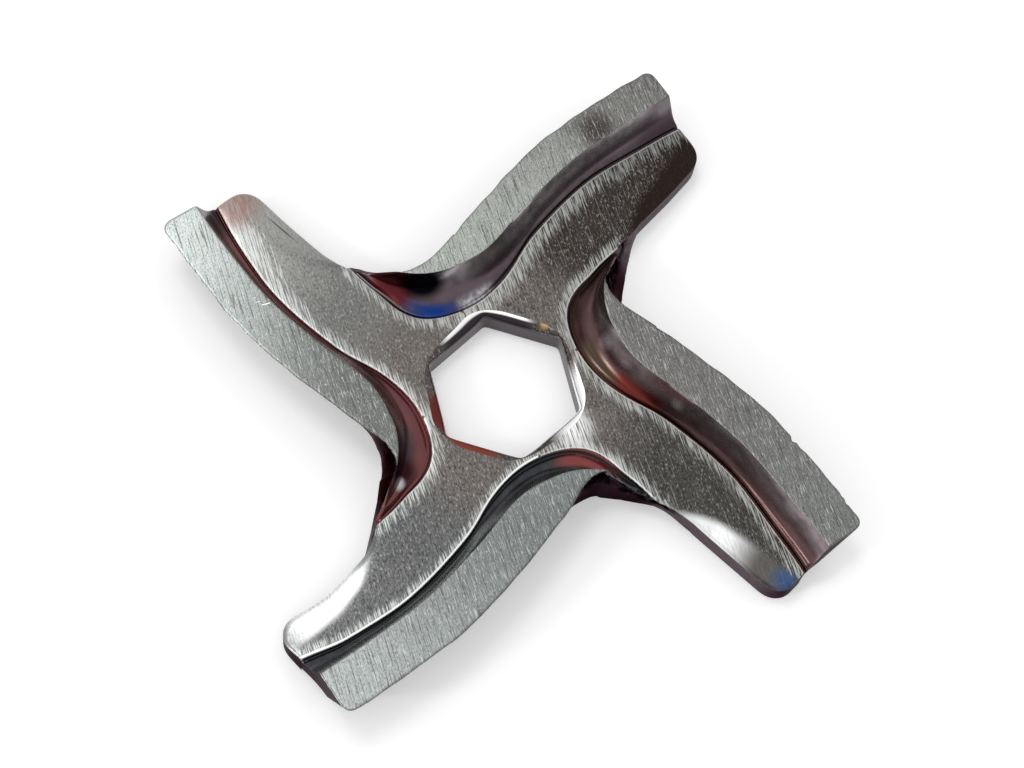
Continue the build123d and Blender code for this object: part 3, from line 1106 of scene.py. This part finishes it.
# %% Each arm's own values
PATTERN_OFFSET = 0.33    # how far the grooves lie off the axis
PATTERN_HEADING = 101.6  # in which direction, in degrees
CORNERS = [(0.20, 0.10), (0.34, -0.10), (0.28, -0.62), (0.45, 0.0)]   # how far each back corner lies off
CORNER_INSET = 0.2       # where that is measured from: a little inside the corner
CORNER_END, CORNER_FADE = 3.45, 3.0             # how far from there it ends, and the run before
EDGE_WAVE = [0.06, 0.035, 0.03, 0.05]           # height of each cutting edge's waves
WAVE_PACES = (1.1, 1.9, 3.1)                    # radians of each wave in a millimetre
WAVE_SHIFT = 0.6         # share of a wave that lies inside the true edge
EDGE_BAND = 0.5          # waves and nicks fade out over this distance from the edge
EDGE_LOW, EDGE_RISE = 1.0, 2.5                  # height where they begin, and the run to their full size
# a nick in a cutting edge: arm, place along it, depth, half its width
NICKS = [(3, 15.5, 0.20, 0.20), (3, 16.1, 0.10, 0.35), (3, 20.4, 0.08, 0.16), (3, 19.9, 0.05, 0.12)]
FIRST_SIDE = 28          # degrees from an arm's line back to where its share of the knife begins
TIP_ZONE = (17.5, 3.5)   # start and run of the zone where only the tip's own line is followed


def each_arm(points):
    """For each arm: its number, which points are on it, and their places in its own plan."""
    angle = np.degrees(np.arctan2(points[:, 1], points[:, 0]))
    owner = np.floor((angle + FIRST_SIDE) / (360 / ARMS)).astype(int) % ARMS
    for k in range(ARMS):
        mine = owner == k
        yield k, mine, turned(points[mine, :2], -k)


def carried(name, kind=np.float32):
    """A value that the mesh carries, for all its points or faces."""
    data = mesh.attributes[name].data
    values = np.empty(len(data), kind)
    data.foreach_get("value", values)
    return values


where = np.empty(len(mesh.vertices) * 3, np.float32)
mesh.vertices.foreach_get("co", where)
where = where.reshape(-1, 3).astype(float) / MM
print("points of each arm:", [int(mine.sum()) for _, mine, _ in each_arm(where)])

# %% Moving the points of each arm
share = carried("drift")
heading = math.radians(PATTERN_HEADING)
offset = PATTERN_OFFSET * np.array([[math.cos(heading), math.sin(heading)]])
moved = where.copy()
lean = TIP_LEAN / (TIP_FRONT - BACK_OFFSET)
for k, mine, plan in each_arm(where):
    along, sideways = turned(offset, -k)[0]
    at_tip = eased((plan[:, 0] - TIP_ZONE[0]) / TIP_ZONE[1])
    step = np.stack([share[mine] * (along * (1 - at_tip) + sideways * lean * at_tip),
                     share[mine] * sideways], axis=1)
    corner = (REACH - TIP_LEAN - CORNER_INSET, BACK_OFFSET + CORNER_INSET)
    from_corner = np.linalg.norm(plan - corner, axis=1)
    step += np.array(CORNERS[k]) * eased((CORNER_END - from_corner) / CORNER_FADE)[:, None]
    beside = eased(1 - distance(plan, EDGE) / EDGE_BAND) * eased((where[mine, 2] - EDGE_LOW) / EDGE_RISE)
    wave = sum(np.sin(plan[:, 0] * pace + 2.1 * k + pace) for pace in WAVE_PACES) / len(WAVE_PACES)
    dent = sum(deep * np.exp(-((plan[:, 0] - at) / wide) ** 2)
               for number, at, deep, wide in NICKS if number == k)
    step[:, 1] += beside * (EDGE_WAVE[k] * (wave - WAVE_SHIFT) - dent)
    moved[mine, :2] += turned(step, k)
print("the points moved by up to", round(float(np.linalg.norm(moved - where, axis=1).max()), 2), "mm")

# %% [markdown]
# ### Torn steel in the notches
#
# A shear cuts through the first part of the thickness and tears the rest, worst in a tight notch. The
# torn part spreads by a different amount in each notch, and its upper half is crumbly. Noise that only
# moves points inwards makes the crumbs, so the outline stays, and the mesh carries how badly each
# point is torn, for the finish.

# %% Notch walls
NOTCH_CENTRE = (0.2, 10.4)       # in the plan of the arm before the notch
TORN = [0.3, 0.5, 1.0, 0.9]      # how badly each notch wall is torn
SPREAD = [(0.30, 0.35), (0.32, 0.20), (-0.55, -0.40), (0.25, 0.18)]   # extra spread of each notch's foot
TORN_END, TORN_FADE = 3.6, 1.6   # distance from the notch where tearing ends, and the run before
SPREAD_END, SPREAD_FADE = 4.6, 3.0               # the same for the spread
TORN_DEPTH, DEPTH_FADE = 0.6, 0.35               # the same down the wall, as shares of its height
CRUMBS = 0.22                    # depth of the torn steel's crumbs
COARSE, FINE, FINE_SHARE = 1.6, 3.7, 0.6         # paces of two sizes of crumbs, weight of the second
zone_of = carried("zone", np.int32)
on_wall = np.zeros(len(mesh.vertices), bool)
for face in mesh.polygons:
    if zone_of[face.index] == WALL_ZONE:
        on_wall[list(face.vertices)] = True
depth = carried("across")
low_down = np.where(where[:, 2] < BACK_LIP[0] * 1.2, 1.0, depth * on_wall)
torn = np.zeros(len(mesh.vertices))
for k in range(ARMS):
    away = np.linalg.norm(turned(where[:, :2], -k) - NOTCH_CENTRE, axis=1)
    torn = np.maximum(torn, TORN[k] * eased((TORN_END - away) / TORN_FADE))
    spread = low_down * eased((SPREAD_END - away) / SPREAD_FADE)
    moved[:, :2] += turned([SPREAD[k]], k) * spread[:, None]
torn *= on_wall * eased((TORN_DEPTH - depth) / DEPTH_FADE)
for i in np.nonzero(torn > 0.01)[0]:
    place = Vector(where[i])
    crag = noise.noise(place * COARSE) + FINE_SHARE * noise.noise(place * FINE)
    moved[i, :2] -= np.array(mesh.vertices[i].normal[:2]) * torn[i] * CRUMBS * abs(crag)
mesh.attributes.new("torn", "FLOAT", "POINT").data.foreach_set("value", torn.astype(np.float32))
mesh.vertices.foreach_set("co", (moved * MM).astype(np.float32).ravel())
mesh.update()
print("torn points:", int((torn > 0.01).sum()))

# %% [markdown]
# ## Handing the knife over
#
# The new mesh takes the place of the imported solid. It rides on the root body, because the knife is one
# rigid piece, and it is all one kind of metal.

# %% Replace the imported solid
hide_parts("meat_grinder_knife")
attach(knife, "root")
print(knife.name, "stands for the packed solid")

# %% [markdown]
# ## Stage
#
# The knife lies on its flat back on a plain pale floor, which is lifted to white for the camera and in
# what the steel mirrors, and still takes the knife's shadow. A white room gives most of the light. A
# soft lamp almost overhead and a low one on the near left add to the brighter strips on the left arms,
# which are painted lighter as well.

# %% Floor
FLOOR_GAP = 0.02         # between the knife's back and the floor
FLOOR_CORNERS = [(-2, -2, 0), (2, -2, 0), (2, 2, 0), (-2, 2, 0)]     # in metres
floor_mesh = bpy.data.meshes.new("floor")
floor_mesh.from_pydata(FLOOR_CORNERS, [], [(0, 1, 2, 3)])
floor = as_object("floor", floor_mesh)
floor.location.z = low.z - FLOOR_GAP * MM
pale = bpy.data.materials.new("pale floor")
pale.use_nodes = True
tree = pale.node_tree
rays = node(tree, "ShaderNodeLightPath").outputs
seen = node(tree, "ShaderNodeMath", {0: rays["Is Camera Ray"], 1: rays["Is Glossy Ray"]},
            operation="MAXIMUM").outputs[0]
feed(tree, tree.nodes["Principled BSDF"],
     {"Base Color": "#f2f2f2", "Roughness": 0.9, "Emission Color": "#ffffff",
      "Emission Strength": mask(tree, seen, 0.24)})
floor_mesh.materials.append(pale)
print("floor at", round(floor.location.z / MM, 3), "mm")

# %% Light
SEEN_TURN = 60           # degrees by which the camera sees the knife turned
world = bpy.data.worlds.new("soft room")
bpy.context.scene.world = world
world.use_nodes = True
feed(world.node_tree, world.node_tree.nodes["Background"], {"Color": "#ffffff", "Strength": 0.8})


def lamp(name, azimuth, elevation, away, size, power):
    """A square soft lamp that faces the knife; azimuth is as the camera sees it, 90 is up."""
    a, e = math.radians(azimuth - SEEN_TURN), math.radians(elevation)
    data = bpy.data.lights.new(name, "AREA")
    data.size, data.energy = size, power
    made = as_object(name, data)
    place = Vector((math.cos(e) * math.cos(a), math.cos(e) * math.sin(a), math.sin(e))) * away
    made.location = place
    made.rotation_euler = place.to_track_quat("Z", "Y").to_euler()
    print("lamp", name, "at", tuple(round(c, 2) for c in place))


lamp("key", 150, 72, 0.6, 0.16, 0.5)
lamp("low", 215, 32, 0.6, 0.08, 0.5)

# %% Camera
CAMERA_PLACE = (-47.2718, -28.8928, 130.98)      # from the drive axis in the plane of the strips
CAMERA_TURNS = [("Z", -58.97251), ("X", 22.67142), ("Z", 11.74746)]      # round the vertical, tilt, roll
CAMERA_LENS, SENSOR = 82.4, 36
camera_data = bpy.data.cameras.new("camera")
camera_data.lens = CAMERA_LENS
camera_data.sensor_width = SENSOR
camera_data.clip_start = 0.01
camera = as_object("camera", camera_data)
pose = Matrix.Translation((Vector(CAMERA_PLACE) + Vector((0, 0, THICKNESS))) * MM)
for about, degrees in CAMERA_TURNS:
    pose = pose @ Matrix.Rotation(math.radians(degrees), 4, about)
camera.matrix_world = pose
bpy.context.scene.camera = camera
bpy.context.scene.view_settings.view_transform = "Standard"
print("camera at", tuple(round(c / MM, 1) for c in pose.translation), "mm")

# %% Bring the scene up to date
bpy.context.view_layer.update()
